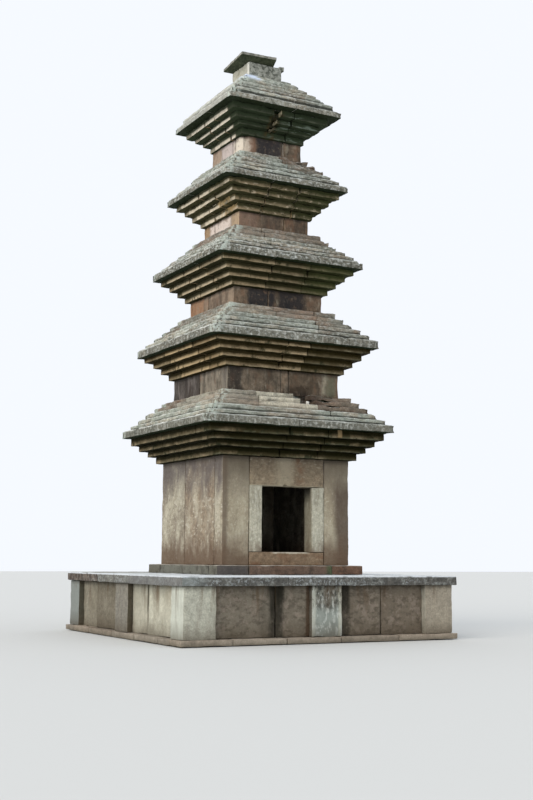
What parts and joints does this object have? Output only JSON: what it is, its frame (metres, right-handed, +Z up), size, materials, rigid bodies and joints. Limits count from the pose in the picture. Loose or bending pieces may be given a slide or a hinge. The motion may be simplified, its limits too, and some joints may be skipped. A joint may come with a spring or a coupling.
{
  "type": "five-storey stone pagoda",
  "caption": "Square granite pagoda with storeys that grow smaller upwards, stepped corbelled roofs, a niche in the first storey and a low panelled base.",
  "frame": {"origin": "centre of the foot course's underside, at ground level", "axes": "+Z up; the niche faces -Y; +X is to the right of someone facing the niche"},
  "size_m": [4.95, 4.95, 10.14],
  "materials": {
    "pale_granite": "dressed granite, pale grey to beige, weathered",
    "brown_granite": "dressed granite, brown, stained by rain and soil",
    "dark_granite": "granite under black and green growth",
    "lichen_granite": "rough weathered granite with grey-green lichen",
    "rubble": "rubble and earth fill, out of sight"
  },
  "bodies": {
    "root": {"foot_course_front": "pale_granite", "foot_course_back": "pale_granite", "foot_course_west": "pale_granite", "foot_course_east": "pale_granite", "base_fill": "rubble", "corner_pillar_front_west": "pale_granite", "corner_pillar_front_east": "pale_granite", "corner_pillar_back_west": "pale_granite", "corner_pillar_back_east": "pale_granite", "middle_pillar_front": "pale_granite", "middle_pillar_back": "pale_granite", "middle_pillar_west": "pale_granite", "middle_pillar_east": "pale_granite", "wall_panels_front": "brown_granite", "wall_panels_back": "brown_granite", "wall_panels_west": "pale_granite", "wall_panels_east": "pale_granite", "cap_front": "dark_granite", "cap_back": "dark_granite", "cap_west": "dark_granite", "cap_east": "dark_granite", "plinth_front": "dark_granite", "plinth_back": "dark_granite", "plinth_west": "dark_granite", "plinth_east": "dark_granite", "front_slab_west": "brown_granite", "front_slab_east": "brown_granite", "niche_sill": "brown_granite", "niche_jamb_west": "pale_granite", "niche_jamb_east": "pale_granite", "niche_lintel": "brown_granite", "west_slab_front": "pale_granite", "west_slab_back": "pale_granite", "east_slab_front": "pale_granite", "east_slab_back": "pale_granite", "back_slab_west": "brown_granite", "back_slab_east": "brown_granite", "roof_1_corbels": "dark_granite", "roof_1_top": "lichen_granite", "storey_2": "brown_granite", "roof_2_corbels": "dark_granite", "roof_2_top": "lichen_granite", "storey_3": "brown_granite", "roof_3_corbels": "dark_granite", "roof_3_top": "lichen_granite", "storey_4": "brown_granite", "roof_4_corbels": "dark_granite", "roof_4_top": "lichen_granite", "storey_5": "brown_granite", "roof_5_corbels": "dark_granite", "roof_5_top": "lichen_granite", "finial_base": "dark_granite"}
  },
  "joints": []
}
